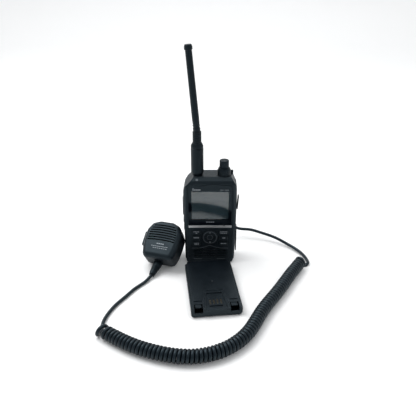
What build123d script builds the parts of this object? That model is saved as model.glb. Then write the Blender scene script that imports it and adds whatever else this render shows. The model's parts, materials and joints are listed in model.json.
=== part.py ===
from build123d import *
import math
import os

# Handheld transceiver with a coiled-cord speaker microphone and a spare battery pack.
# Drawn with x = 0 at the radio's centre, y = 0 at its front face, z = 0 at its foot, +Y to its back,
# then moved so that the written frame's origin is the middle of the radio's foot.

# ---- driving dimensions, millimetres ----
BODY_W, BODY_D, BODY_H = 58.4, 26.4, 105.4
WALL = 1.7
SPLIT_Y = 12.0                 # seam between front case and chassis
BACK_Y = 15.6                  # chassis back, where the battery seats
FOOT_Y = BACK_Y / 2            # middle of the foot, the written frame's origin
TOP_SEAM_Z, TOP_SEAM_Y = 99.0, 5.6
PANEL_Y = 0.45                 # depth of the panel inside the raised front rim
GAP = 0.15                     # clearance between neighbouring pieces
SLIDE = 0.05                   # running clearance, radial

PACK_W, PACK_L, PACK_T = 51.2, 84.0, 10.6
PACK_Z = 1.0                   # fitted pack's lower end
PACK_CHAMFER = 1.4
TERMINAL_Z = 12.6              # middle of the battery terminals
SPARE_AT = (1.9, -53.1)        # spare pack's centre on the table
SPARE_TURN = 6.7
HOOK_X = 18.0                  # hook pockets either side of the terminals

WINDOW_HALF, WINDOW_LOW, WINDOW_HIGH = 23.4, 50.0, 99.0
LCD_LEFT, LCD_RIGHT, LCD_LOW, LCD_HIGH = -20.2, 20.4, 56.8, 90.6
TRIM_HALF, TRIM_LOW, TRIM_HIGH = 24.0, 46.5, 49.3
KEY_W, KEY_H, KEY_PROUD = 9.4, 5.2, 0.7
KEY_ROWS = (40.5, 33.3, 25.8)
KEY_X = 15.3
KEY_TRAVEL = 0.5
DPAD_Z, DPAD_R, DPAD_HOLE, ENTER_R = 34.5, 8.5, 4.4, 3.9

ANT_X, ANT_Y = -13.7, 14.0
SLEEVE_R, SLEEVE_LOW, SLEEVE_HIGH = 6.8, 105.7, 135.0
NECK_R, NECK_LOW, NECK_HIGH = 4.7, 141.4, 153.4
WHIP_LEAN, WHIP_R, WHIP_LEN = 5.1, 3.8, 87.4

KNOB_X, KNOB_Y = 15.2, 13.5
RING_R, RING_LOW, RING_HIGH = 7.2, 106.0, 113.4
DIAL_R, DIAL_LOW, DIAL_HIGH = 5.1, 114.0, 121.9
TUBE_R, SHAFT_R = 2.5, 1.5

MIC_W, MIC_L, MIC_T = 41.6, 45.5, 26.0
MIC_SEAM = -10.5
TALK_LOW, TALK_HIGH = 14.4, 31.4
MIC_AT, MIC_TURN, MIC_LEAN = (-55.4, -7.2, 0.25), -17.0, 35.0

CORD_R, COIL_R = 1.8, 6.9
COIL_PATH = ((-98.7, -123.7), (-76, -138.2), (-46, -151), (-15, -155.3), (12, -146.8), (33.5, -127),
             (50.2, -95.6), (72, -60), (84, -39), (104, -6.5))
MIC_LEAD_PATH = ((-64.3, -30.0, 3.5), (-69.5, -39, 2.2), (-79, -51, 1.9), (-87, -64.5, 1.9),
                 (-95, -78, 1.9), (-100, -90, 1.9), (-103.5, -102, 2.4), (-105.6, -112, 4.6),
                 (-105.4, -117.6, 7.4))
RADIO_LEAD_PATH = ((15.0, 44.0, 90.5), (15.8, 50.5, 88), (17.0, 57, 78), (18.6, 60.5, 58), (21, 61, 36),
                   (26, 60, 21), (34.5, 58.3, 14.5), (49, 55.7, 12), (62, 52, 10), (76, 46, 8),
                   (86, 40, 6), (94, 34, 4), (100, 27, 3), (106, 19, 2.5), (110.4, 10, 2.5),
                   (109.6, 1.6, 4.2))
PLUG_X, PLUG_Z = 15.0, 91.0
UPPER_COVER, UPPER_COVER_OPEN = (67.6, 83.0), 4.0
LOWER_COVER = (14.2, 46.0)
COVER_T = 1.2
SIDE_KEY_SPANS = ((60.0, 82.0), (50.4, 57.6), (41.4, 48.6))
CASE_SCREWS = ((-22.0, 25.0), (22.0, 25.0), (-22.0, 76.0), (22.0, 76.0))
MIC_SCREWS = ((-13.0, 9.0), (13.0, 9.0), (-12.0, 36.0), (12.0, 36.0))
BOOT_TOP = (-57.5, -12.4, 9.3)
BOOT_END = (-64.2, -29.6, 3.8)
LID_T = 2.4

parts = {}


# ---- helpers ----

def block(x0, x1, y0, y1, z0, z1):
    """Box between two corners."""
    centre = ((x0 + x1) / 2, (y0 + y1) / 2, (z0 + z1) / 2)
    return Pos(*centre) * Box(x1 - x0, y1 - y0, z1 - z0)


def plate_y(outline, y0, y1):
    """An outline drawn in X and Z, made solid from y0 to y1."""
    front = Plane(origin=(0, y0, 0), x_dir=(1, 0, 0), z_dir=(0, -1, 0))
    return extrude(front * outline, amount=-(y1 - y0))


def plate_z(outline, z0, z1):
    """An outline drawn in X and Y, made solid from z0 to z1."""
    return extrude(Pos(0, 0, z0) * outline, amount=z1 - z0)


def plate_x(outline, x0, x1):
    """An outline drawn in Y and Z, made solid from x0 to x1."""
    side = Plane(origin=(x0, 0, 0), x_dir=(0, 1, 0), z_dir=(1, 0, 0))
    return extrude(side * outline, amount=x1 - x0)


def round_z(r, x, y, z0, z1):
    """Cylinder standing along Z."""
    return Pos(x, y, (z0 + z1) / 2) * Cylinder(r, z1 - z0)


def round_y(r, x, z, y0, y1):
    """Cylinder lying along Y."""
    return Pos(x, (y0 + y1) / 2, z) * Rot(90, 0, 0) * Cylinder(r, y1 - y0)


def round_x(r, y, z, x0, x1):
    """Cylinder lying along X."""
    return Pos((x0 + x1) / 2, y, z) * Rot(0, 90, 0) * Cylinder(r, x1 - x0)


def rounded(x0, x1, z0, z1, r):
    """Rectangle with round corners, between two corners."""
    return Pos((x0 + x1) / 2, (z0 + z1) / 2) * RectangleRounded(x1 - x0, z1 - z0, r)


def soft_polygon(points, r):
    """Closed outline through the points, with each corner rounded."""
    outline = make_face(Polyline(*points, close=True))
    return fillet(outline.vertices(), r)


def group(solids):
    """Separate solids that share one node."""
    return Compound(list(solids))


def sweep_cord(points, r):
    """Round cord along a smooth path through the points."""
    path = Spline(*points)
    start = Plane(origin=path @ 0, z_dir=path % 0)
    return sweep(start * Circle(r), path=path)


# ---- radio case ----

def front_outline(inset):
    """The case seen from the front: narrow foot, bulged upper part, sloped left shoulder."""
    i = inset
    half = BODY_W / 2 - i
    high = BODY_H - i
    points = ((i - 25.0, i), (24.2 - i, i), (half - 1.6, 7.0), (half - 0.8, 42.0), (half, 64.0), (half, 90.0),
              (half - 0.5, 97.0), (23.0 - i, high), (i - 17.6, high), (1.9 - half, 96.6), (-half, 89.0),
              (-half, 64.0), (0.8 - half, 42.0), (1.3 - half, 7.0))
    return soft_polygon(points, 3.0)


def plan_outline(inset):
    """The case seen from above: round front corners, long tapered rear corners."""
    i = inset
    half = BODY_W / 2 - i
    right = ((half - 3.2, i), (half - 0.8, 1.5 + i / 2), (half, 4.4), (half, 15.0), (24.5 - i, BODY_D - i))
    left = tuple((-x, y) for x, y in reversed(right))
    return soft_polygon(right + left, 1.6)


def side_outline(inset):
    """The case seen from the side: the top slopes down over the front edge."""
    i = inset
    points = ((1.2 + i, i), (BODY_D - i, i), (BODY_D - i, BODY_H - i), (6.6, BODY_H - i), (2.0 + i, 102.2 - i),
              (i, 98.6 - i), (i, 1.6 + i))
    return soft_polygon(points, 1.0)


def case_block(inset):
    """Full outer form of the case, or its hollow when inset by the wall."""
    form = plate_y(front_outline(inset), 0, BODY_D)
    form = form & plate_z(plan_outline(inset), 0, BODY_H)
    return form & plate_x(side_outline(inset), -BODY_W / 2, BODY_W / 2)


OUTER = case_block(0)
HOLLOW = case_block(WALL)


def window_outline(inset):
    """Display window: straight sides and a slightly arched top."""
    i = inset
    high = WINDOW_HIGH - i
    half = WINDOW_HALF - i
    low = WINDOW_LOW + i
    sides = (Line((-half, high - 4.5), (-half, low)), Line((-half, low), (half, low)),
             Line((half, low), (half, high - 4.5)))
    arch = Spline((half, high - 4.5), (half - 6.0, high - 1.0), (0, high), (-half + 6.0, high - 1.0),
                  (-half, high - 4.5), tangents=((0, 1), (0, -1)))
    return make_face(Wire([*sides, arch]))


def key_spots():
    """Name, x and z of the six front keys."""
    spots = []
    for side, x in (("left", -KEY_X), ("right", KEY_X)):
        for row, z in zip(("upper", "middle", "lower"), KEY_ROWS):
            spots.append((f"key_{side}_{row}", x, z))
    return spots


def case_openings():
    """Everything cut through the front wall."""
    cuts = []
    cuts.append(plate_y(rounded(LCD_LEFT - 0.8, LCD_RIGHT + 0.8, LCD_LOW - 0.8, LCD_HIGH + 0.8, 1), -1, 4))
    for _, x, z in key_spots():
        half_w = KEY_W / 2 + GAP
        half_h = KEY_H / 2 + GAP
        cuts.append(plate_y(rounded(x - half_w, x + half_w, z - half_h, z + half_h, 1.5), -1, 4))
    cuts.append(round_y(DPAD_R + 0.25, 0, DPAD_Z, -1, 4))
    for row in range(6):
        z = 7.4 + 2.2 * row
        half = 19.0 if row < 5 else 15.0
        cuts.append(plate_y(rounded(-half, half, z - 0.45, z + 0.45, 0.4), -1, 4))
    return cuts


def front_ridges():
    """Raised ring round the direction ring and the bowed line under the keys."""
    ring = round_y(9.9, 0, DPAD_Z, 0.1, PANEL_Y + 0.2) - round_y(9.2, 0, DPAD_Z, -1, 3)
    line = Spline((-20.4, 19.9), (-10.0, 20.2), (-4.6, 21.8), (0, 23.2), (4.6, 21.8), (10.0, 20.2),
                  (20.4, 19.9))
    bow = plate_y(trace(line, 0.7), 0.1, PANEL_Y + 0.2)
    return ring, bow


def front_case():
    """Front moulding: window seat, trim seat, keypad field, speaker slots, side openings."""
    shell = OUTER & block(-40, 40, -1, SPLIT_Y, -1, 120)
    shell -= block(-40, 40, TOP_SEAM_Y, 40, TOP_SEAM_Z, 120)
    shell -= HOLLOW & block(-40, 40, WALL, SPLIT_Y + 1, 0, 120)
    shell -= plate_y(rounded(-24.6, 24.6, 3.8, 100.2, 5.0), -1, PANEL_Y)
    for ridge in front_ridges():
        shell += ridge
    shell -= plate_y(window_outline(-GAP), -1, 1.1)
    shell -= plate_y(rounded(-TRIM_HALF - 0.1, TRIM_HALF + 0.1, TRIM_LOW - 0.1, TRIM_HIGH + 0.1, 0.4), -1, 0.9)
    for cut in case_openings():
        shell -= cut
    for z0, z1 in SIDE_KEY_SPANS:
        shell -= plate_x(rounded(4.4 - GAP, 10.2 + GAP, z0 - GAP, z1 + GAP, 1.5), -31, -24)
    shell -= block(24, 31, 4.2, 10.4, 68.4, 77.6)
    shell -= block(24, 31, 4.2, 10.4, 20.4, 44.8)
    return shell


def rear_chassis():
    """Die-cast rear frame: back plate, upper block over the pack, two hook lugs at its foot."""
    frame = OUTER & block(-40, 40, SPLIT_Y + 0.6, BACK_Y, -1, TOP_SEAM_Z)
    head = OUTER & block(-40, 40, SPLIT_Y + 0.6, 40, PACK_Z + PACK_L + 0.5, TOP_SEAM_Z)
    frame += head
    hollow = HOLLOW & block(-40, 40, SPLIT_Y, BACK_Y - WALL, 0, 120)
    hollow += HOLLOW & block(-40, 40, SPLIT_Y, 40, 88.0, 120)
    frame -= hollow
    for x in (-HOOK_X, HOOK_X):
        frame += block(x - 3.0, x + 3.0, BACK_Y - 0.5, BACK_Y + 1.4, 2.4, 5.2)
    frame -= block(-9, 9, BACK_Y - 5, BACK_Y + 1, TERMINAL_Z - 6.5, TERMINAL_Z + 6.5)
    for x, z in CASE_SCREWS:
        frame -= round_y(1.05, x, z, 10, 20)
        frame -= round_y(2.1, x, z, BACK_Y - 0.9, 20)
    frame -= block(-7.2, 7.2, 24.2, 28, 86.6, 96.6)
    frame -= block(-3.2, 3.2, 22.0, 28, 88.0, 95.0)
    return frame - round_y(1.85, PLUG_X, PLUG_Z, 18, 30)


def case_seal():
    """Rubber gasket in the seam between case and chassis."""
    ring = case_block(0.25) & block(-40, 40, SPLIT_Y + 0.02, SPLIT_Y + 0.58, -1, TOP_SEAM_Z - 0.02)
    return ring - HOLLOW


def top_panel():
    """Top cap with holes for the antenna socket, the knob shafts and a small guard post."""
    cap = OUTER & block(-40, 40, TOP_SEAM_Y + 0.05, 40, TOP_SEAM_Z + 0.05, 120)
    cap -= HOLLOW & block(-40, 40, TOP_SEAM_Y + 1.5, 40, 0, 103.4)
    cap -= round_z(3.35, ANT_X, ANT_Y, 95, 110)
    cap -= round_z(3.75, KNOB_X, KNOB_Y, 95, 110)
    cap += round_z(1.4, KNOB_X + 8.8, KNOB_Y + 4.5, 103.6, 108.4)
    return cap


def case_screws():
    """Four countersunk screws through the chassis."""
    screws = []
    for x, z in CASE_SCREWS:
        screw = round_y(1.0, x, z, 6.5, BACK_Y - 0.3) + round_y(2.0, x, z, BACK_Y - 0.85, BACK_Y - 0.1)
        screw -= block(x - 1.4, x + 1.4, BACK_Y - 0.5, BACK_Y, z - 0.25, z + 0.25)
        screw -= block(x - 0.25, x + 0.25, BACK_Y - 0.5, BACK_Y, z - 1.4, z + 1.4)
        screws.append(screw)
    return group(screws)


# ---- display, keypad and boards ----

def display_window():
    """Clear lens with its edge step."""
    return plate_y(window_outline(0), 0.15, 1.05)


def lcd_panel():
    """Display module behind the lens."""
    glass = block(LCD_LEFT, LCD_RIGHT, 1.2, 2.6, LCD_LOW, LCD_HIGH)
    holder = block(LCD_LEFT - 2, LCD_RIGHT + 1.5, 2.6, 4.2, LCD_LOW - 4, LCD_HIGH + 3)
    return glass + holder


def trim_bar():
    """Bright strip between window and keys."""
    bar = plate_y(rounded(-TRIM_HALF, TRIM_HALF, TRIM_LOW, TRIM_HIGH, 0.5), -0.25, 0.85)
    return chamfer(bar.faces().sort_by(Axis.Y)[0].edges(), 0.2)


def key_cap(x, z):
    """Front key: crowned cap with a flange behind the wall."""
    cap = plate_y(rounded(x - KEY_W / 2, x + KEY_W / 2, z - KEY_H / 2, z + KEY_H / 2, 1.4), -KEY_PROUD, 1.95)
    cap = fillet(cap.faces().sort_by(Axis.Y)[0].edges(), 0.5)
    flange = rounded(x - KEY_W / 2 - 0.7, x + KEY_W / 2 + 0.7, z - KEY_H / 2 - 0.5, z + KEY_H / 2 + 0.5, 1.0)
    return cap + plate_y(flange, 1.8, 2.3)


def enter_key():
    """Round key in the middle of the direction ring."""
    cap = round_y(ENTER_R, 0, DPAD_Z, -0.9, 2.3)
    return fillet(cap.faces().sort_by(Axis.Y)[0].edges(), 0.5)


def dpad_ring():
    """Direction ring with four thumb marks."""
    ring = round_y(DPAD_R, 0, DPAD_Z, -1.2, 1.6)
    ring = chamfer(ring.faces().sort_by(Axis.Y)[0].edges(), 0.8)
    ring -= round_y(DPAD_HOLE, 0, DPAD_Z, -3, 3)
    for turn in range(4):
        angle = math.radians(90 * turn)
        x = 6.4 * math.cos(angle)
        z = DPAD_Z + 6.4 * math.sin(angle)
        ring -= round_y(0.7, x, z, -3, -0.9)
    return ring


def dpad_cradle():
    """Rocker plate that carries the direction ring."""
    plate = round_y(7.4, 0, DPAD_Z, 2.1, 2.6)
    return plate - round_y(DPAD_HOLE + 0.2, 0, DPAD_Z, 0, 4)


def keypad_mat():
    """Rubber mat with a dome under each key."""
    mat = plate_y(rounded(-23.4, 23.4, 21.9, 45.2, 2.0), 3.5, 4.3)
    for _, x, z in key_spots():
        mat += round_y(1.6, x, z, 2.95, 3.6)
    return mat + round_y(1.6, 0, DPAD_Z, 2.95, 3.6)


def main_board():
    """Circuit board across the whole case."""
    board = plate_y(rounded(-24.5, 24.5, 4.0, 96.0, 3.0), 5.2, 6.2)
    board -= round_y(9.6, 0, 12.2, 4, 8)
    return board


def rf_shield():
    """Two pressed screening cans on the board."""
    cans = []
    for z0, z1 in ((24.0, 48.0), (50.0, 74.0)):
        can = block(-18, 18, 6.25, 9.8, z0, z1)
        cans.append(can - block(-17.6, 17.6, 6.2, 9.4, z0 + 0.4, z1 - 0.4))
    return group(cans)


def radio_speaker():
    """Round speaker behind the slots."""
    cone = round_y(9.0, 0, 12.2, 2.0, 4.2)
    magnet = round_y(5.4, 0, 12.2, 4.2, 7.6)
    return cone + magnet - round_y(7.6, 0, 12.2, 1.5, 2.6)


def radio_microphone():
    """Small condenser capsule behind the front wall."""
    return round_y(1.9, 21.0, 12.0, 2.0, 3.6) + block(19.6, 22.4, 3.6, 5.1, 10.6, 13.4)


def status_lens():
    """Small light pipe on the sloped top edge."""
    lens = Pos(ANT_X - 0.4, 3.6, 102.9) * Rot(38, 0, 0) * Box(2.5, 2.5, 1.0)
    return lens


def lens_seat():
    """Pocket that the light pipe sits in."""
    return Pos(ANT_X - 0.4, 3.6, 102.9) * Rot(38, 0, 0) * Box(2.56, 2.56, 1.06)


def supply_contacts():
    """Four sprung blades that meet the pack's terminals."""
    blades = []
    for number in range(4):
        x = 3.6 * (number - 1.5)
        blades.append(block(x - 0.6, x + 0.6, BACK_Y - 4.2, BACK_Y - 0.05, TERMINAL_Z - 2.6, TERMINAL_Z + 2.6))
    return group(blades)


def jack_block():
    """Sockets behind the two side covers and the plug."""
    upper = block(23.2, 26.8, 6.3, 10.6, 69.0, 77.0) - round_x(1.5, 8.4, 73.0, 22, 30)
    lower = block(23.4, 26.0, 6.3, 10.3, 21.0, 44.0)
    for z in (26.0, 38.0):
        lower -= round_x(1.3, 8.4, z, 24, 30)
    rear = block(PLUG_X - 4.5, PLUG_X + 4.5, 20.2, 24.6, 88.2, 94.4)
    rear -= round_y(1.8, PLUG_X, PLUG_Z, 20.8, 30)
    return group((upper, lower, rear))


# ---- side keys and covers ----

def side_key(z0, z1, proud):
    """Key on the left side, with a flange inside the wall."""
    face = case_side_x((z0 + z1) / 2)
    cap = plate_x(rounded(4.4, 10.2, z0, z1, 1.4), -face - proud, -26.2)
    cap = fillet(cap.faces().sort_by(Axis.X)[0].edges(), 0.5)
    return cap + block(-26.6, -26.0, 3.9, 10.7, z0 - 0.4, z1 + 0.4)


def case_side_x(z):
    """Half width of the case at a height, below its widest part."""
    if z > 42.0:
        return BODY_W / 2 - 0.8 + 0.8 * (min(z, 64.0) - 42.0) / 22.0
    return BODY_W / 2 - 1.6 + 0.8 * (z - 7.0) / 35.0


def jack_cover(z0, z1, lean):
    """Rubber cover hinged along its lower edge; the lean is how far it stands open."""
    face = case_side_x(z1) + 0.12
    cover = plate_x(rounded(3.6, 11.0, z0, z1, 1.2), face, face + COVER_T)
    cover = fillet(cover.faces().sort_by(Axis.X)[-1].edges(), 0.5)
    for step in range(3):
        cover -= round_y(0.35, face + COVER_T, z1 - 2.0 - 1.5 * step, 5.0, 9.6)
    hinge_at = Pos(face + 0.2, 0, z0 + 0.4)
    return hinge_at * Rot(0, lean, 0) * hinge_at.inverse() * cover


# ---- knobs ----

def grip_ring(r, x, y, z0, z1, ribs, depth):
    """Knob body with vertical grip grooves."""
    knob = round_z(r, x, y, z0, z1)
    knob = fillet(knob.faces().sort_by(Axis.Z)[-1].edges(), min(0.9, r / 5))
    for step in range(ribs):
        angle = 2 * math.pi * step / ribs
        groove_x = x + (r + depth) * math.cos(angle)
        groove_y = y + (r + depth) * math.sin(angle)
        knob -= round_z(2 * depth, groove_x, groove_y, z0 + 1.2, z1 - 0.8)
    return knob


def encoder_body():
    """Twin rotary encoder under the top cap."""
    can = block(KNOB_X - 6.4, KNOB_X + 6.4, KNOB_Y - 5.4, KNOB_Y + 6.4, 92.0, 101.8)
    can += round_z(3.65, KNOB_X, KNOB_Y, 101, 105.4)
    return can - round_z(TUBE_R + SLIDE, KNOB_X, KNOB_Y, 94.0, 110)


def volume_ring():
    """Lower knob on the tube shaft."""
    knob = grip_ring(RING_R, KNOB_X, KNOB_Y, RING_LOW, RING_HIGH, 16, 0.32)
    taper = Polyline((0, 0), (RING_R + 0.2, 0), (RING_R + 0.2, 4.4), (RING_R - 1.2, RING_HIGH - RING_LOW),
                     (0, RING_HIGH - RING_LOW), close=True)
    knob = knob & Pos(KNOB_X, KNOB_Y, RING_LOW) * revolve(Plane.XZ * make_face(taper), axis=Axis.Z)
    knob += round_z(TUBE_R, KNOB_X, KNOB_Y, 97.0, RING_LOW + 2)
    return knob - round_z(SHAFT_R + SLIDE, KNOB_X, KNOB_Y, 90, 130)


def dial_knob():
    """Upper knob on the inner shaft."""
    knob = grip_ring(DIAL_R, KNOB_X, KNOB_Y, DIAL_LOW, DIAL_HIGH, 14, 0.26)
    return knob + round_z(SHAFT_R, KNOB_X, KNOB_Y, 95.0, DIAL_LOW + 1)


# ---- antenna ----

def antenna_connector():
    """Threaded socket through the top cap."""
    flange = block(ANT_X - 3.9, ANT_X + 3.9, ANT_Y - 3.9, ANT_Y + 3.9, 99.9, 101.5)
    return flange + round_z(3.2, ANT_X, ANT_Y, 98.0, 112.0)


def antenna_sleeve():
    """Lower sleeve with its tapered foot and the collar that grips the neck."""
    r = SLEEVE_R
    section = Polyline((3.25, SLEEVE_LOW), (r - 1.0, SLEEVE_LOW), (r, SLEEVE_LOW + 3.0),
                       (r, SLEEVE_HIGH), (r - 0.5, SLEEVE_HIGH + 0.4), (r - 0.1, SLEEVE_HIGH + 1.2),
                       (r - 0.1, SLEEVE_HIGH + 3.2), (NECK_R + 0.5, NECK_LOW - 0.1), (0, NECK_LOW - 0.1),
                       (0, 112.4), (3.25, 112.4), close=True)
    body = revolve(Plane.XZ * make_face(section), axis=Axis.Z)
    return Pos(ANT_X, ANT_Y, 0) * body


def antenna_neck():
    """Flexible neck with shallow ring grooves."""
    neck = round_z(NECK_R, ANT_X, ANT_Y, NECK_LOW, NECK_HIGH)
    for step in range(4):
        z = NECK_LOW + 2.0 + 2.6 * step
        groove = round_z(NECK_R + 1, ANT_X, ANT_Y, z, z + 0.8)
        neck -= groove - round_z(NECK_R - 0.5, ANT_X, ANT_Y, z, z + 0.8)
    return neck


def antenna_whip():
    """Ferrule, tapered whip and end cap, leaning from the neck's top."""
    r = WHIP_R
    section = Polyline((0, 0.15), (r, 0.15), (r, 2.2), (r + 0.3, 2.5), (r + 0.3, 3.2), (r - 0.3, 3.5),
                       (r - 0.3, 5.6), (r + 0.1, 5.9), (r + 0.1, 6.6), (r - 0.3, 6.9), (r - 0.1, 9.5), (r, 14.0),
                       (r - 0.4, WHIP_LEN - 5.6), (r + 0.3, WHIP_LEN - 5.0), (r + 0.3, WHIP_LEN - 2.4),
                       (r - 0.4, WHIP_LEN - 0.5), (0, WHIP_LEN), close=True)
    body = revolve(Plane.XZ * make_face(section), axis=Axis.Z)
    return Pos(ANT_X, ANT_Y, NECK_HIGH) * Rot(0, -WHIP_LEAN, 0) * Pos(0, 0, 0.35) * body


# ---- battery pack, drawn as fitted: inner face at low y, terminals at its lower end ----

def pack_form(inset):
    """Outer form of the pack: chamfered upper corners, chamfered lower outer edge."""
    i = inset
    y0 = BACK_Y + 0.15
    half = PACK_W / 2 - i
    low = PACK_Z + i
    high = PACK_Z + PACK_L - i
    face = soft_polygon(((-half, low), (half, low), (half, high - 4), (half - 4, high), (4 - half, high),
                         (-half, high - 4)), 0.8)
    form = plate_y(face, y0 + i, y0 + PACK_T - i)
    back = y0 + PACK_T - i
    side = soft_polygon(((y0 + i, low), (back - PACK_CHAMFER, low), (back, low + PACK_CHAMFER),
                         (back, high), (y0 + i, high)), 0.6)
    plan = soft_polygon(((-half, y0 + i), (half, y0 + i), (half, back - 3.4), (half - 2.6, back),
                         (2.6 - half, back), (-half, back - 3.4)), 0.7)
    return form & plate_x(side, -40, 40) & plate_z(plan, -1, 120)


def battery_shell():
    """Outer tray of the pack."""
    y0 = BACK_Y + 0.15
    tray = pack_form(0) & block(-40, 40, y0 + LID_T + 0.02, 40, -1, 120)
    tray -= pack_form(1.5) & block(-40, 40, y0, 40, -1, 120)
    for x in (-HOOK_X, HOOK_X):
        tray -= block(x - 4.3, x + 4.3, y0, y0 + 5.4, PACK_Z - 1, PACK_Z + 2)
    for step in range(9):
        z = 16.0 + 1.8 * step
        tray -= block(-9, 9, y0 + PACK_T - 0.45, 40, z, z + 0.8)
    return tray


def trapezium(low, high, low_half, high_half):
    """Outline with level ends and sloped sides."""
    corners = ((-high_half, high), (high_half, high), (low_half, low), (-low_half, low))
    return make_face(Polyline(*corners, close=True))


def battery_lid():
    """Inner face of the pack: rails, stepped terminal recess with sloped walls, two hook pockets."""
    y0 = BACK_Y + 0.15
    z0 = PACK_Z
    lid = pack_form(0) & block(-40, 40, y0 - 1, y0 + LID_T, -1, 120)
    lid -= plate_y(trapezium(z0 - 1, z0 + 29.5, 14.0, 9.6), y0 - 1, y0 + 0.6)
    lid -= plate_y(trapezium(z0 - 1, z0 + 26.0, 11.6, 8.2), y0 - 1, y0 + 1.7)
    for side in (-1, 1):
        edge = side * PACK_W / 2
        lid -= block(min(edge, edge - side * 2.4), max(edge, edge - side * 2.4), y0 - 1, y0 + 1.2, z0 - 1, 90)
        x = side * HOOK_X
        lid -= block(x - 4.3, x + 4.3, y0 - 1, y0 + 3.2, z0 - 1, z0 + 9.2)
        lid -= block(x - 4.3, x + 4.3, y0 - 1, y0 + 0.8, z0 + 9.0, z0 + 13.6)
        lid += block(x - 3.0, x + 3.0, y0 + 1.4, y0 + 2.2, z0 + 4.6, z0 + 9.6)
    lid += block(-6.8, 6.8, y0 + 0.7, y0 + 1.9, TERMINAL_Z - 6.0, TERMINAL_Z + 6.0)
    for number in range(4):
        x = 3.6 * (number - 1.5)
        lid -= block(x - 0.9, x + 0.9, y0 - 1, y0 + 1.65, TERMINAL_Z - 3.9, TERMINAL_Z + 3.9)
    return lid


def battery_terminals():
    """Four plated contacts in the slots of the terminal block."""
    y0 = BACK_Y + 0.15
    contacts = []
    for number in range(4):
        x = 3.6 * (number - 1.5)
        contacts.append(block(x - 0.75, x + 0.75, y0 + 1.0, y0 + 1.62, TERMINAL_Z - 3.6, TERMINAL_Z + 3.6))
    return group(contacts)


def battery_cells():
    """Two flat cells side by side."""
    y0 = BACK_Y + 0.15
    cells = []
    for x in (-10.8, 10.8):
        cell = block(x - 10.5, x + 10.5, y0 + LID_T + 0.3, y0 + PACK_T - 1.9, PACK_Z + 18, PACK_Z + PACK_L - 6)
        cells.append(fillet(cell.edges().filter_by(Axis.Z), 1.5))
    return group(cells)


def battery_latch():
    """Ribbed release slide on the back of the case."""
    plate = block(-6.2, 6.2, 24.9, 26.9, 86.75, 93.2)
    plate = chamfer(plate.faces().sort_by(Axis.Y)[-1].edges(), 0.6)
    for step in range(3):
        z = 88.4 + 1.5 * step
        plate -= block(-5.0, 5.0, 26.5, 28, z, z + 0.6)
    return plate + block(-2.8, 2.8, 22.4, 25.2, 88.4, 92.0)


def to_spare(shape):
    """Lay a fitted pack piece on the table, inner face up, terminals towards the viewer."""
    centre = Pos(0, -(BACK_Y + 0.15 + PACK_T), -(PACK_Z + PACK_L / 2))
    return Pos(*SPARE_AT, 0) * Rot(0, 0, SPARE_TURN) * Rot(-90, 0, 0) * centre * shape


# ---- speaker microphone, drawn upright: back at y = 0, face towards -Y, lower end at z = 0 ----

def mic_outline(inset):
    """Face outline: arched top, full shoulders, slightly narrower foot."""
    i = inset
    half = MIC_W / 2 - i
    high = MIC_L - i
    right = ((half - 3.6, i), (half - 0.8, 12.0), (half, 22.0), (half, high - 12.5), (half - 4.6, high - 3.6),
             (half - 13.0, high))
    left = tuple((-x, z) for x, z in reversed(right))
    return soft_polygon(right + left, 6.6 - i)


def mic_form(inset):
    """Outer form of the microphone, or its hollow: a deep pebble with round front and back edges."""
    form = plate_y(mic_outline(inset), -MIC_T + inset, -inset)
    form = fillet(form.faces().sort_by(Axis.Y)[0].edges(), 5.6 - inset)
    return fillet(form.faces().sort_by(Axis.Y)[-1].edges(), 4.6 - inset)


MIC_OUTER = mic_form(0)
MIC_HOLLOW = mic_form(1.8)


def mic_slots():
    """Seven bowed speaker slots across the upper face."""
    slots = []
    for row in range(7):
        z = 20.2 + 2.95 * row
        half = 16.0 - 0.16 * max(0, row - 2) ** 2.2
        bow = ThreePointArc((-half, z), (0, z + 1.1), (half, z))
        slots.append(plate_y(trace(bow, 1.45), -MIC_T - 1, -MIC_T + 4.4))
    return slots


def mic_front_shell():
    """Front moulding with slots and the opening for the talk bar."""
    shell = MIC_OUTER & block(-40, 40, -40, MIC_SEAM, -1, 60)
    shell -= MIC_HOLLOW & block(-40, 40, -40, MIC_SEAM + 1, -1, 60)
    for slot in mic_slots():
        shell -= slot
    shell -= plate_x(rounded(-20.0 - GAP, -13.4 + GAP, TALK_LOW - GAP, TALK_HIGH + GAP, 1.5), -30, -16)
    return shell


def mic_rear_shell():
    """Rear moulding with the swivel seat and the cord outlet."""
    shell = MIC_OUTER & block(-40, 40, MIC_SEAM + 0.05, 1, -1, 60)
    shell -= MIC_HOLLOW & block(-40, 40, MIC_SEAM, 0, -1, 60)
    for x, z in MIC_SCREWS:
        shell -= round_y(1.05, x, z, -5, 2)
        shell -= round_y(2.1, x, z, -0.8, 2)
    return shell + round_y(4.0, 0, 33.0, -2.5, 2.0) - round_y(1.25, 0, 33.0, -5, 3)


def mic_screws():
    """Screws through the rear moulding."""
    screws = []
    for x, z in MIC_SCREWS:
        screw = round_y(1.0, x, z, -8, -0.3) + round_y(2.0, x, z, -0.75, -0.1)
        screws.append(screw - block(x - 1.4, x + 1.4, -0.4, 0, z - 0.25, z + 0.25))
    return group(screws)


def mic_board():
    """Small circuit board with the talk switch."""
    board = plate_y(rounded(-16.5, 16.5, 7.0, 37.0, 2.0), -12.6, -11.6)
    return board + block(-16.8, -13.5, -18.0, -12.5, 23.0, 30.0)


def mic_speaker():
    """Round speaker behind the slots."""
    return round_y(12.0, 0, 28.5, -20.0, -17.8) + round_y(7.6, 0, 28.5, -17.8, -12.9)


def mic_capsule():
    """Condenser microphone capsule low in the face."""
    return round_y(3.0, 8.0, 13.5, -21.0, -17.5)


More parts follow.
